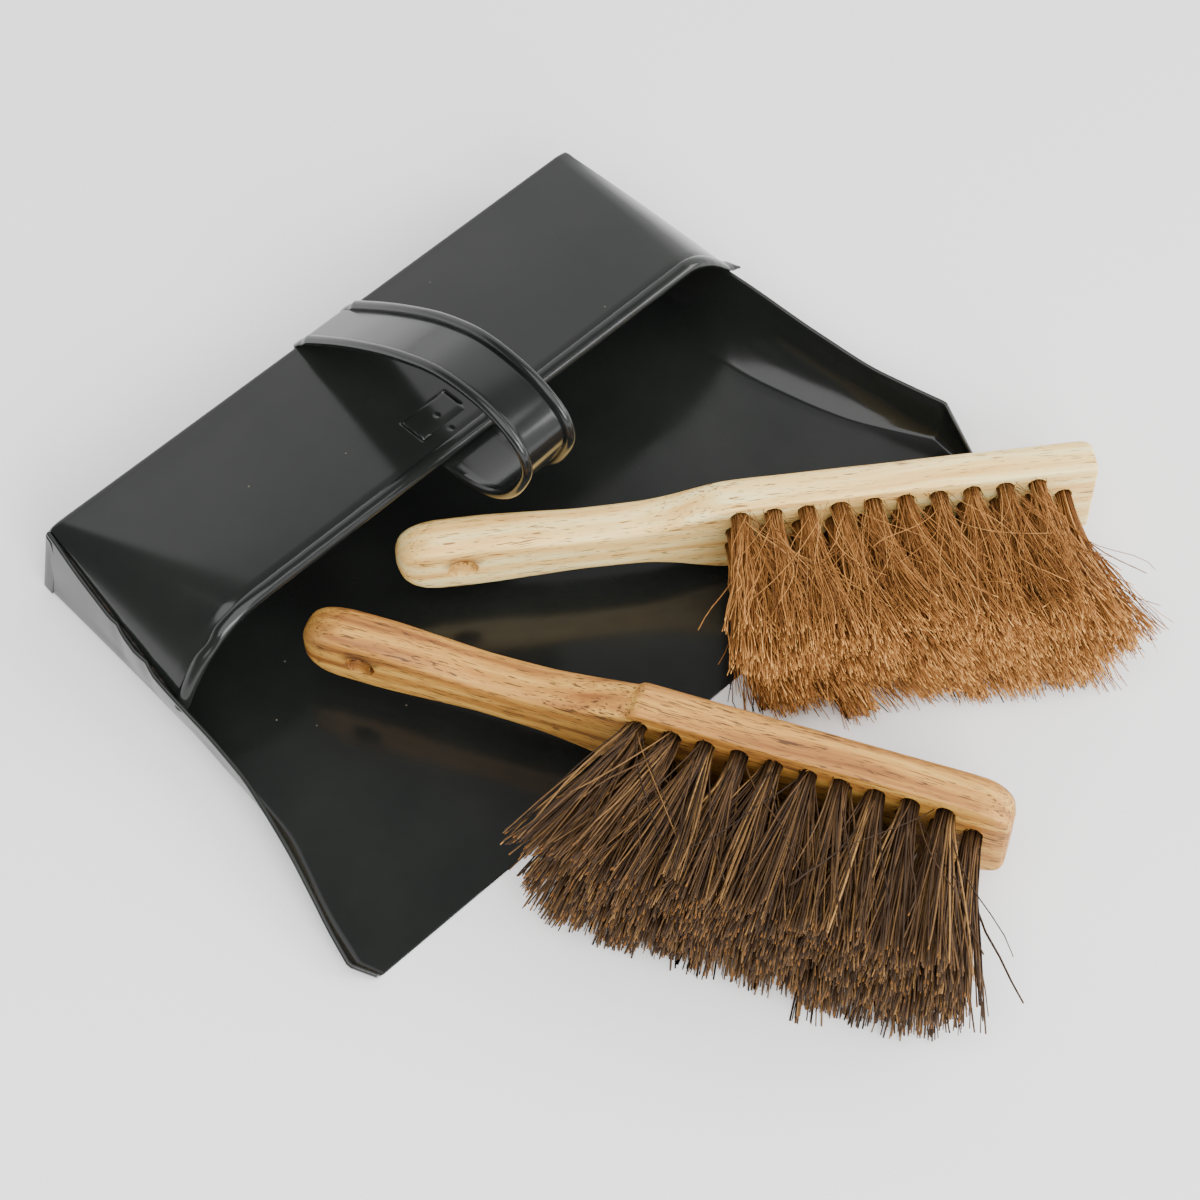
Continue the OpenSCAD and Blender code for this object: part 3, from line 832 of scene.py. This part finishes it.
BASSINE_STOCK = np.array([
    [0, 2.4, 7.4, 12.6, 2], [1, 5.2, 4.8, 15.6, 2.4], [3, 8, 2.4, 17.8, 2.8],
    [7, 10.8, 0.7, 19.3, 3.2], [12, 12.6, 0, 20, 3.4], [18, 13.7, 0, 20.2, 3.4],
    [32, 13.8, 0, 20.2, 3.4], [52, 12.4, 0, 19.8, 3.4], [76, 10.6, 0, 19.4, 3.2],
    [97, 11.4, 0, 19.6, 3], [112, 13.6, 0, 20, 2.6], [126, 16.9, 0, 20.2, 2], [134, 19, 0, 20.3, 1.6],
    [136.4, 21.4, 0, 20.5, 1.2], [139, 22, 0, 20.5, 1], [200, 22, 0, 20.5, 1], [268, 21.9, 0, 20.5, 1],
    [274, 21.2, 0, 20, 1.1], [279, 19.8, 0, 18.4, 1.2], [282.4, 17.8, 0.3, 15.8, 1.4],
    [BASSINE_LENGTH, 14.6, 1.4, 12, 1.4]])


def stock_ring(half, low, high, edge):
    """(y, z) round a stock's section: flat underneath, full sides and a rounded back."""
    height, waist = high - low, 0.34
    turn = np.radians(np.linspace(0, 180, 37))
    c, s = np.cos(turn), np.clip(np.sin(turn), 0, 1)
    over = np.stack([half * np.sign(c) * np.abs(c) ** 0.62,
                     low + height * (waist + (1 - waist) * s ** 0.66)], axis=1)
    rise = height * waist
    corner = np.radians(np.linspace(0, 90, 6))
    deep = min(rise, edge * 1.3)
    down = np.stack([-half + edge * (1 - np.cos(corner)), low + deep * (1 - np.sin(corner))], axis=1)
    side = np.array([[-half, low + deep + (rise - deep) * 0.5]])
    flat = np.linspace(-half + edge, half - edge, 10)[1:-1]
    under = np.stack([flat, np.full_like(flat, low)], axis=1)
    return np.concatenate([over, side, down, under, down[::-1] * [-1, 1], side * [-1, 1]])


def stock_loft(table, ripple_seed):
    """Vertices and faces of a solid stock before it is drilled."""
    end = table[-1, 0]
    xs = np.concatenate([np.linspace(0, 12, 20), np.linspace(14, 128, 58), np.linspace(130, 140, 12),
                         np.linspace(144, 266, 28), end - 13 * np.linspace(1, 0, 22) ** 1.6])
    values = [smooth(table[:, 0], table[:, k], xs) for k in range(1, 5)]
    rings = []
    for x, half, low, high, edge in zip(xs, *values):
        ring = stock_ring(half, low, high, edge)
        rings.append(np.concatenate([np.full((len(ring), 1), x), ring], axis=1))
    rings = np.array(rings)
    raised = ease((rings[..., 2] - 6) / 8)
    rings[..., 2] += raised * ripple(rings[..., 0], rings[..., 1], ripple_seed, 50, 0.12)
    return rings.reshape(-1, 3), capped_faces(*rings.shape[:2])


def drill(radii, heights, x, y, sides, rough, rng, long=1.0):
    """A cutter: stacked rings of each radius and height at (x, y), torn longer along the grain."""
    turn = np.linspace(0, 2 * math.pi, sides, endpoint=False)
    wobble = 1 + rng.normal(0, rough, sides)
    rings = [np.stack([x + r * long * wobble * np.cos(turn), y + r * wobble * np.sin(turn),
                       np.full(sides, z)], axis=1) for r, z in zip(radii, heights)]
    return np.concatenate(rings), capped_faces(len(rings), sides)


def drilled_stock(brush):
    """The stock with its 42 tuft sockets and its hanging hole cut out."""
    seed, thick = brush.style["stock_seed"], brush.style["thickness"]
    rng = np.random.default_rng(seed)
    cutters = []
    for x, y in brush.sockets():
        x += rng.normal(0, 0.15)
        y += rng.normal(0, 0.15)
        cutters.append(drill([4.1, 3.6, SOCKET_R, SOCKET_R], [-1, 0.35, 1.2, 11], x, y, 24, 0.02, rng))
    cutters.append(drill([5.7, 5.3, 5.1, 4.9, 4.3, 4.3, 4.7, 5.6],
                         [-1, 0.3, 2.5, 6, 8, thick - 2.4, thick - 0.8, thick + 1],
                         HANG_X, 0, 48, 0.022, rng, 1.16))
    body, cutter = [place_in_scene(name, joined_mesh(name, parts, 1)) for name, parts in (
        ("stock_blank", [stock_loft(brush.stations, seed)]), ("stock_cutters", cutters))]
    for made in (body, cutter):
        made.data.validate()
    cut = body.modifiers.new("drill", "BOOLEAN")
    cut.operation, cut.object, cut.solver = "DIFFERENCE", cutter, "EXACT"
    result = body.evaluated_get(bpy.context.evaluated_depsgraph_get()).to_mesh()
    verts = np.empty(len(result.vertices) * 3)
    result.vertices.foreach_get("co", verts)
    faces = [list(p.vertices) for p in result.polygons]
    for made in (body, cutter):
        bpy.data.objects.remove(made)
    return brush.place(verts.reshape(-1, 3)), faces


# ---- Fibres -------------------------------------------------------------------------------


# A fibre's thickness as a share of its width, its clearance over the ground, and how far from
# a tuft's middle its fibres start
FIBRE_FLAT, CLEAR, TUFT_R = 0.75, 0.25, 3.2
# Fibres side by side in the UV square, each in its own strip, so that it bakes in its own colour
UV_COLUMNS = 200


def fibre_piece(name, brush, paths, radii, shades, sides, material, node):
    """One object of many thin fibres. paths is fibre by ring by XYZ in the brush's frame."""
    count, rings = paths.shape[:2]
    along = np.gradient(paths, axis=1)
    along /= np.maximum(np.linalg.norm(along, axis=2, keepdims=True), 1e-9)
    side = np.cross(along, [0.31, 0.93, 0.17])
    side /= np.linalg.norm(side, axis=2, keepdims=True)
    up = np.cross(side, along)
    turn = np.linspace(0, 2 * math.pi, sides, endpoint=False)
    spin = (shades * 40)[:, None, None, None]
    wide = np.cos(turn[None, None, :, None] + spin)
    tall = np.sin(turn[None, None, :, None] + spin)
    ring = side[:, :, None] * wide + up[:, :, None] * tall * FIBRE_FLAT
    points = paths[:, :, None] + ring * radii[..., None, None]
    points[..., 1] = np.minimum(points[..., 1], brush.ground - CLEAR)
    verts = brush.place(points.reshape(-1, 3)) * MM
    fibre = np.arange(count)[:, None, None] * rings * sides
    level = np.arange(rings - 1)[None, :, None] * sides
    k = np.arange(sides)[None, None, :]
    n = (k + 1) % sides
    quads = np.stack([fibre + level + k, fibre + level + n,
                      fibre + level + sides + n, fibre + level + sides + k], axis=-1)
    quads = quads[..., ::-1].reshape(-1, 4)
    start = (np.arange(count)[:, None] * rings * sides + np.arange(sides)[None, :])
    end = start + (rings - 1) * sides
    loops = np.concatenate([quads.ravel(), start.ravel(), end[:, ::-1].ravel()])
    sizes = np.concatenate([np.full(len(quads), 4), np.full(2 * count, sides)])
    mesh = bpy.data.meshes.new(name)
    mesh.vertices.add(len(verts))
    mesh.vertices.foreach_set("co", verts.ravel())
    mesh.loops.add(len(loops))
    mesh.loops.foreach_set("vertex_index", loops)
    mesh.polygons.add(len(sizes))
    mesh.polygons.foreach_set("loop_start", np.concatenate([[0], np.cumsum(sizes)[:-1]]))
    mesh.polygons.foreach_set("loop_total", sizes)
    mesh.polygons.foreach_set("use_smooth", np.ones(len(sizes), bool))
    per_vertex = np.repeat(shades, rings * sides)
    share = np.tile(np.repeat(np.linspace(0, 1, rings), sides), count)
    for label, values in (("shade", per_vertex), ("along", share)):
        layer = mesh.attributes.new(label, "FLOAT", "POINT")
        layer.data.foreach_set("value", values.astype(np.float32))
    lines = math.ceil(count / UV_COLUMNS)
    number = loops // (rings * sides)
    ring_at = (loops % (rings * sides)) // sides
    around = (np.arange(len(loops)) % 4) / 4
    u = (number % UV_COLUMNS + 0.2 + 0.5 * around) / UV_COLUMNS
    v = (number // UV_COLUMNS + 0.06 + 0.88 * ring_at / (rings - 1)) / lines
    uv = mesh.uv_layers.new(name="OFBake")
    uv.data.foreach_set("uv", np.stack([u, v], axis=1).astype(np.float32).ravel())
    mesh.materials.append(material)
    mesh.update(calc_edges=True)
    mesh.validate()
    hand_over(name, mesh, brush.body, node)


def bundle(rng, root, style, shift, length):
    """Fibre paths of one tuft: wisps of fibres that lean, curl and end together.

    shift is how far the tips lean in X and Y.
    """
    count, rings, wisps = style["count"], style["rings"], style["wisps"]
    t = np.linspace(0, 1, rings)[None, :]
    free = np.clip((t - style["bound"]) / (1 - style["bound"]), 0, 1)
    radius = TUFT_R * np.sqrt(rng.uniform(0, 1, count))
    angle = rng.uniform(0, 2 * math.pi, count)
    at = np.stack([radius * np.cos(angle), radius * np.sin(angle)])
    # Each fibre belongs to the wisp whose middle is nearest to its root
    spin = rng.uniform(0, 2 * math.pi, wisps)
    middle = 2.3 * np.sqrt(rng.uniform(0.1, 1, wisps)) * np.stack([np.cos(spin), np.sin(spin)])
    near = np.argmin(np.sum((at[:, :, None] - middle[:, None]) ** 2, axis=0), axis=1)
    open_out = rng.normal(0, 0.62, (2, wisps)) + middle / TUFT_R * 0.75
    wisp_reach = 1 + rng.normal(0, style["ragged"], wisps)
    bend = np.clip(rng.normal(style["bend"], 0.22, count), 0.75, 2.4)[:, None]
    wild = (rng.uniform(0, 1, count) < style["stray"]) * rng.uniform(0.5, 1.0, count)
    fan = np.array(style["fan"])
    lean = open_out[:, near] * fan[:, None] + rng.normal(0, style["loose"], (2, count))
    lean += wild * rng.normal(0, 1.7, (2, count)) * fan[:, None]
    lean += np.array(shift)[:, None]
    path = at[:, :, None] * (1 + 0.55 * ease(t / 0.8)) + lean[:, :, None] * free ** bend
    for wave in (0.5, 0.95, 1.9):
        phase = rng.uniform(0, 2 * math.pi, (2, count, 1))
        shared = rng.normal(0, 1, (2, wisps))[:, near, None]
        own = rng.normal(0, 1, (2, count, 1))
        strength = style["curl"] / wave * (0.4 * shared + 0.75 * own) * (1 + 1.6 * wild[None, :, None])
        swing = np.sin(2 * math.pi * wave * t + phase) - np.sin(phase)
        path = path + strength * free * swing
    run = np.hypot(path[0] - path[0][:, :1], path[1] - path[1][:, :1])
    reach = length * wisp_reach[near] * (1 + rng.normal(0, 0.012, count))
    reach *= 1 - wild * rng.uniform(0, 0.2, count)
    depth = 4 - (reach[:, None] + 4) * t + run * t * 0.1
    return np.stack([root[0] + path[0], root[1] + path[1], depth], axis=2)


def tufts(brush, row):
    """All the fibres of one row of tufts."""
    style = brush.style
    rng = np.random.default_rng(style["seed"] * 10 + row)
    roots = brush.row_sockets(row)
    length = style["length"] + style["row_length"] * (row - 1)
    paths = []
    for i, root in enumerate(roots):
        share = i / (len(roots) - 1)
        lean = smooth(style["shift_at"], style["shift"], [share])[0]
        lean += style["row_shift"] * (row - 1) * (1 - share)
        shift = (lean + rng.normal(0, 1.2), style["splay"] * (row - 2.5) / 1.5 + rng.normal(0, 0.6))
        paths.append(bundle(rng, root, style, shift, length))
    name = f"{brush.name}_tufts_{row}"
    fibres(brush, rng, np.concatenate(paths), style["radius"], name, name)


def fibres(brush, rng, paths, radius, name, node):
    """One piece of fibres with their own thickness, taper and tone."""
    count, rings = paths.shape[:2]
    t = np.linspace(0, 1, rings)[None, :]
    thick = rng.uniform(*radius, count)[:, None]
    radii = thick * (0.9 + 0.2 * np.sin(math.pi * t) - 0.12 * t)
    shades = np.clip(rng.beta(2.0, 2.4, count), 0, 1)
    sides, slot = brush.style["sides"], brush.name + "_fibre"
    fibre_piece(name, brush, paths, radii, shades, sides, brush.fibre, node)


def strays(brush):
    """Long loose fibres that cross the outer rows of tufts in arcs and loops."""
    style = brush.style
    first, count = style["first"], style["strays"]
    rng = np.random.default_rng(style["seed"] * 10 + 7)
    t = np.linspace(0, 1, 22)[None, :]
    row = rng.choice([1, 1, 1, 1, 2, 4, 4], count)
    column = rng.integers(0, 10, count)
    # A sixth of them are at the handle end
    column[:count // 6] = 0
    x0 = (first + column * PITCH + rng.normal(0, 2.2, count))[:, None]
    y0 = (row_y(row) + rng.normal(0, 1.8, count))[:, None]
    sway = rng.normal(0.15, 1, count)[:, None] * style["stray_sway"]
    arc = rng.normal(0, 1, (2, count, 1)) * style["stray_arc"]
    phase = rng.uniform(0, 2 * math.pi, (2, count, 1))
    x = x0 + sway * t ** 1.2 + arc[0] * (np.sin(3.6 * t + phase[0]) - np.sin(phase[0])) * t
    before, after = style["stray_past"]
    x = np.clip(x, first - 3 - before * t, first + 9 * PITCH + 3 + after * t)
    y = y0 + np.sign(y0) * (style["splay"] + 3.2) * np.sin(math.pi * np.clip(t * 0.62, 0, 0.5)) ** 0.8
    y = y + arc[1] * 0.3 * (np.sin(4.2 * t + phase[1]) - np.sin(phase[1])) * t
    depth = 3 - (style["length"] * rng.uniform(0.55, 1.0, count)[:, None] + 3) * t
    paths = np.stack([x, y, depth + np.hypot(x - x0, y - y0) * 0.25 * t], axis=2)
    fibres(brush, rng, paths, style["stray_radius"], brush.name + "_stray_fibres", None)


# What sets the two brushes apart, in mm and shares. first is X of the first tuft of row 1.
# count, rings and sides are each tuft's fibres and their mesh. bound is the share of a fibre that
# stays in its bundle and bend how late it leaves. fan is how widely the wisps open, loose how far
# fibres leave their wisp, curl how wavy and ragged how uneven they are, and stray the share that
# goes its own way. shift is the tips' lean at each share of a row's length, row_shift and
# row_length what each lower row adds at the handle end, and splay how far the outer rows part.
COCO_STYLE = {
    "first": 136, "thickness": 19.5, "stock_seed": 61, "splinter_seed": 71, "wood_slot": "beech",
    "seed": 31, "count": 215, "rings": 12, "wisps": 7, "sides": 3, "length": 68, "radius": (0.17, 0.3),
    "bound": 0.12, "bend": 1.6, "fan": (7.0, 4.2), "loose": 1.7, "curl": 1.35, "ragged": 0.045,
    "stray": 0.07, "shift_at": [0, 0.25, 0.6, 1], "shift": [-5, 4, 10, 8], "splay": 4.8,
    "row_shift": 6.5, "row_length": 1.2, "strays": 420,
    "stray_radius": (0.12, 0.2), "stray_sway": 14, "stray_arc": 7, "stray_past": (6, 2)}
BASSINE_STYLE = {
    "first": 139.5, "thickness": 20.5, "stock_seed": 62, "splinter_seed": 72, "wood_slot": "rubberwood",
    "seed": 47, "count": 104, "rings": 8, "wisps": 12, "sides": 5, "length": 68.5, "radius": (0.25, 0.47),
    "bound": 0.06, "bend": 1.2, "fan": (7.5, 4.8), "loose": 2.4, "curl": 0.5, "ragged": 0.03,
    "stray": 0.08, "shift_at": [0, 0.12, 0.45, 1], "shift": [-20, -11, 0, 8], "splay": 5.6,
    "row_shift": 5.5, "row_length": 1.5, "strays": 70,
    "stray_radius": (0.2, 0.34), "stray_sway": 15, "stray_arc": 3, "stray_past": (20, 12)}


def splinters(brush):
    """Torn wood fibres at the mouths of the sockets and the hanging hole."""
    rng = np.random.default_rng(brush.style["splinter_seed"])
    places = [(x, y, SOCKET_R + 0.15, 5) for x, y in brush.sockets()] + [(HANG_X, 0, 4.3, 26)]
    t = np.linspace(0, 1, 5)
    paths = []
    for x, y, radius, count in places:
        for _ in range(count):
            angle = rng.uniform(0, 2 * math.pi)
            length = rng.uniform(0.8, 2.6)
            out = radius + rng.uniform(-0.2, 0.9) * length * t * 0.6
            turn = angle + rng.normal(0, 0.5) * t * 0.3
            depth = 0.3 - length * t * (1 - 0.4 * t)
            paths.append(np.stack([x + out * np.cos(turn), y + out * np.sin(turn), depth], axis=1))
    paths = np.array(paths)
    radii = np.linspace(0.2, 0.05, paths.shape[1])[None, :] * rng.uniform(0.5, 1.3, (len(paths), 1))
    shades = rng.uniform(0, 1, len(paths))
    name, slot = brush.name + "_splinters", brush.style["wood_slot"]
    fibre_piece(name, brush, paths, radii, shades, 3, brush.wood, None)


# ---- Making everything --------------------------------------------------------------------

coco = Brush("coco", COCO_STOCK, COCO_STYLE)
bassine = Brush("bassine", BASSINE_STOCK, BASSINE_STYLE)
brushes = (coco, bassine)

enamel = enamel_material()
weld = weld_material()
# A knot with a tan ring round it, and a handled tip
coco.wood = wood_material(
    "pale_wood", coco, ("e6b464", "fbd685", "ffecaa"), "7e4e1c", 0.385,
    "e4b050", 0.34,
    [((118, -16, 11), (3.2, 3.2, 3.2), "5a320e", 0.95), ((118, -16, 11), (14, 8, 7), "cc9038", 0.7),
     ((6, 0, 9), (12, 16, 9), "d6a658", 0.5)])
# An orange rub at the block's step, one on the toe, a dark scratch and a handled tip
bassine.wood = wood_material(
    "tan_wood", bassine, ("865220", "ba8236", "d3a24c"), "40240c", 0.41,
    "ac6426", 0.38,
    [((143, -21, 10), (13, 9, 11), "a8480c", 0.95), ((276, -20, 8), (9, 7, 9), "9c5018", 0.6),
     ((255, -21, 3), (5, 3, 3), "241a12", 0.85), ((5, 0, 10), (12, 16, 11), "946a36", 0.6)])
# The colour after each set of tones is the painted shade at the fibres' roots
coco.fibre = fibre_material(
    "coco_fibre", ("522f15", "96632f", "c0884a", "e0b070"), "361e0c",
    "e0a85c", 0.03, 0.7, 0.6)
bassine.fibre = fibre_material(
    "bassine_fibre", ("22170f", "432f1d", "6b4e2d", "a47c48"), "140d08",
    "7e5222", 0.025, 0.78, 0.5)
anchor = anchor_material()

make_piece("pan_tray", [(*sheet_shell(tray_grid(), SHEET), 0)], [enamel], "dustpan")
hood_sheets = [(hood_grid(), SHEET), (bead_grid(), SHEET * 0.8),
               (corner_flap(-1), SHEET), (corner_flap(1), SHEET)]
make_piece("hood", [(*sheet_shell(*sheet), 0) for sheet in hood_sheets]
           + [(*seam_weld(-1, 3), 1), (*seam_weld(1, 4), 1)], [enamel, weld], "dustpan")
make_piece("handle_strap", [(*sheet_shell(strap_grid(), SHEET), 0)], [enamel], "dustpan")

for brush in brushes:
    make_piece(brush.name + "_stock", [(*drilled_stock(brush), 0)], [brush.wood], brush.body)
for brush in brushes:
    strays(brush)
for row in ROWS:
    for brush in brushes:
        tufts(brush, row)
        strips = frame["nodes"][f"{brush.name}_anchors_{row}"]
        strips.data.materials.clear()
        strips.data.materials.append(anchor)
for brush in brushes:
    splinters(brush)

# ---- Floor, light and camera --------------------------------------------------------------


def studio_floor():
    """A plain pale floor that runs past the picture on every side."""
    size = 3.0
    mesh = bpy.data.meshes.new("studio_floor")
    corners = [(-size, -size, 0), (size, -size, 0), (size, size, 0), (-size, size, 0)]
    mesh.from_pydata(corners, [], [(0, 1, 2, 3)])
    material, tree, shader = new_material("white_floor")
    coat(tree, shader, Base_Color=(0.9, 0.9, 0.9, 1), Roughness=0.9)
    mesh.materials.append(material)
    place_in_scene("studio_floor", mesh)


def look_at(place, target):
    """Rotation that points -Z from place to target with +Y up."""
    away = np.array(place) - np.array(target)
    away /= np.linalg.norm(away)
    right = np.cross([0, 0, 1], away)
    right /= np.linalg.norm(right)
    return Matrix(np.stack([right, np.cross(away, right), away], axis=1).tolist()).to_euler()


def softbox(name, place, width, height, power):
    """A rectangular studio light that faces the middle of the set."""
    light = bpy.data.lights.new(name, "AREA")
    light.shape = "RECTANGLE"
    light.size, light.size_y = width, height
    light.energy = power
    lamp = place_in_scene(name, light)
    lamp.location = place
    lamp.rotation_euler = look_at(place, (0.0, -0.04, 0.03))


def studio_world():
    """Soft studio light: bright walls on the right, dimmer overhead and to the left."""
    world = bpy.data.worlds.new("studio")
    bpy.context.scene.world = world
    world.use_nodes = True
    tree = world.node_tree
    place = add(tree, "ShaderNodeTexCoord").outputs["Generated"]
    split = add(tree, "ShaderNodeSeparateXYZ", {"Vector": place}).outputs
    level = maths(tree, "SUBTRACT", split["Z"], maths(tree, "MULTIPLY", split["X"], 0.6))
    glow = ramp(tree, level, [(0.0, 1.0), (0.49, 0.88), (0.6, 0.25), (0.73, 0.14), (1.0, 0.12)])
    coat(tree, tree.nodes["Background"], Color=glow, Strength=1.75)


studio_floor()
studio_world()
softbox("overhead", (-0.7, -0.6, 2.2), 3.0, 3.0, 95)
softbox("key", (-0.8, -2.2, 1.3), 1.6, 1.4, 68)
softbox("fill", (1.6, -1.3, 1.2), 1.6, 1.2, 40)

camera_data = bpy.data.cameras.new("camera")
camera_data.sensor_width = 36
camera_data.lens = 96.75
camera_data.clip_end = 20
camera = place_in_scene("camera", camera_data)
azimuth, elevation, distance = math.radians(-44), math.radians(57), 1.2725
target = np.array([0.0009, -0.0592, 0.022])
offset = np.array([math.sin(azimuth) * math.cos(elevation), -math.cos(azimuth) * math.cos(elevation),
                   math.sin(elevation)])
camera.location = target + offset * distance
camera.rotation_euler = look_at(camera.location, target)
bpy.context.scene.camera = camera
